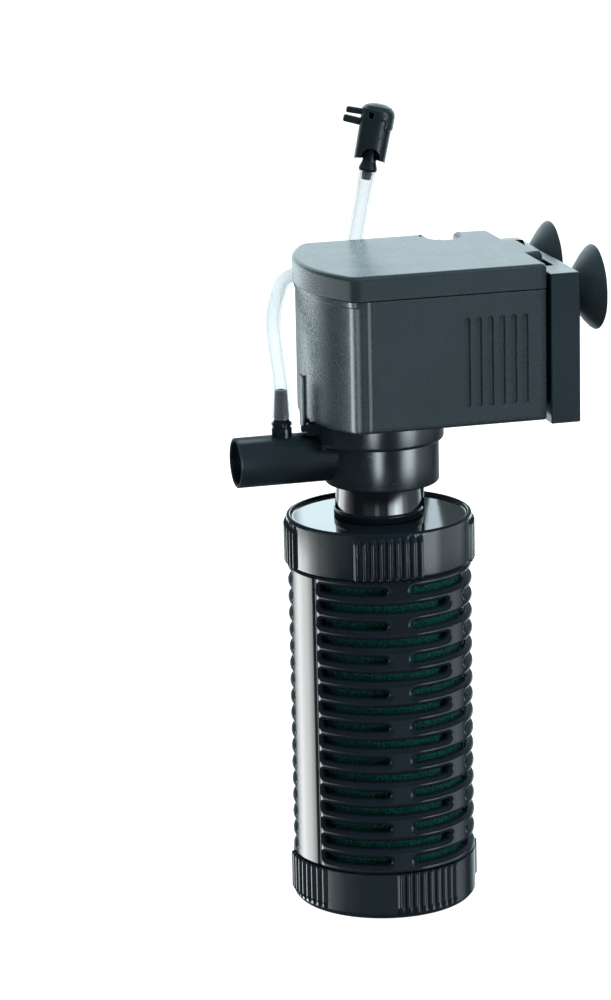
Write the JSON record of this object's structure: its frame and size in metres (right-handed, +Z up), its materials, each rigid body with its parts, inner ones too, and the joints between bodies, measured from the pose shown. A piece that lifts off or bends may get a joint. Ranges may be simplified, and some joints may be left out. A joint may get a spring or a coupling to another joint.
{
  "type": "internal power filter",
  "caption": "Internal aquarium power filter: sealed pump head over a slotted sponge canister, with outlet pipe, air hose and valve, and a suction cup bracket.",
  "frame": {"origin": "centre of the bottom cap's underside, on the canister and rotor axis", "axes": "+Z up along the canister and rotor axis; the outlet pipe points to -X and the bracket with its suction cups faces +X"},
  "size_m": [0.1136, 0.0773, 0.2566],
  "materials": {
    "head_plastic": "fine moulded texture",
    "satin_plastic": "satin",
    "gloss_plastic": "polished",
    "valve_plastic": "satin",
    "core_plastic": "satin",
    "sponge": "open-cell foam",
    "clear_hose": "clear",
    "black_rubber": "matte",
    "seal_rubber": "matte",
    "cable_jacket": "satin",
    "core_steel": "laminated",
    "bobbin_plastic": "matte",
    "copper_wire": "enamelled wire",
    "resin": "cast",
    "ferrite": "matte",
    "impeller_plastic": "moulded",
    "ceramic": "polished"
  },
  "bodies": {
    "pump": {"motor_housing": "head_plastic", "motor_lid": "head_plastic", "housing_collar": "satin_plastic", "stator_core": "core_steel", "coil_bobbin": "bobbin_plastic", "coil_winding": "copper_wire", "potting_resin": "resin", "cable_grommet": "black_rubber", "power_cable": "cable_jacket", "upper_shaft_bush": "seal_rubber", "rotor_shaft": "ceramic"},
    "rotor": {"rotor_magnet": "ferrite", "impeller": "impeller_plastic"},
    "cover": {"pump_cover": "satin_plastic", "cover_o_ring": "seal_rubber", "neck_o_ring": "seal_rubber", "lower_shaft_bush": "seal_rubber", "air_nipple": "gloss_plastic", "air_hose": "clear_hose", "air_valve_stem": "valve_plastic"},
    "air_valve": {"air_valve_cap": "valve_plastic"},
    "top_cap": {"top_cap": "gloss_plastic", "intake_neck": "gloss_plastic"},
    "strainer": {"strainer_body": "gloss_plastic", "filter_sponge": "sponge", "sponge_core": "core_plastic"},
    "bottom_cap": {"bottom_cap": "gloss_plastic"},
    "bracket": {"bracket": "satin_plastic"},
    "cup_near": {"suction_cup_near": "black_rubber"},
    "cup_far": {"suction_cup_far": "black_rubber"}
  },
  "joints": [
    {"name": "rotor_spin", "type": "hinge", "parent": "pump", "child": "rotor", "pos_m": [0, 0, 0.16], "axis": [0, 0, 1], "continuous": true},
    {"name": "cover_pull", "type": "slide", "parent": "pump", "child": "cover", "axis": [0, 0, -1], "range_m": [0, 0.012]},
    {"name": "air_valve_turn", "type": "hinge", "parent": "cover", "child": "air_valve", "pos_m": [0.0093, 0.0352, 0.2398], "axis": [0.1994, 0, 0.9799], "range_deg": [-90, 90]},
    {"name": "canister_pull", "type": "slide", "parent": "cover", "child": "top_cap", "axis": [0, 0, -1], "range_m": [0, 0.012]},
    {"name": "strainer_twist", "type": "hinge", "parent": "top_cap", "child": "strainer", "pos_m": [0, 0, 0.118], "axis": [0, 0, 1], "range_deg": [0, 30]},
    {"name": "bottom_cap_twist", "type": "hinge", "parent": "strainer", "child": "bottom_cap", "pos_m": [0, 0, 0.012], "axis": [0, 0, 1], "range_deg": [0, 30]},
    {"name": "bracket_slide", "type": "slide", "parent": "pump", "child": "bracket", "axis": [0, 0, -1], "range_m": [0, 0.048], "stiffness_N_per_m": 200},
    {"name": "cup_near_turn", "type": "hinge", "parent": "bracket", "child": "cup_near", "pos_m": [0.0584, -0.0217, 0.2027], "axis": [1, 0, 0], "continuous": true},
    {"name": "cup_far_turn", "type": "hinge", "parent": "bracket", "child": "cup_far", "pos_m": [0.0584, 0.0217, 0.2027], "axis": [1, 0, 0], "continuous": true}
  ]
}
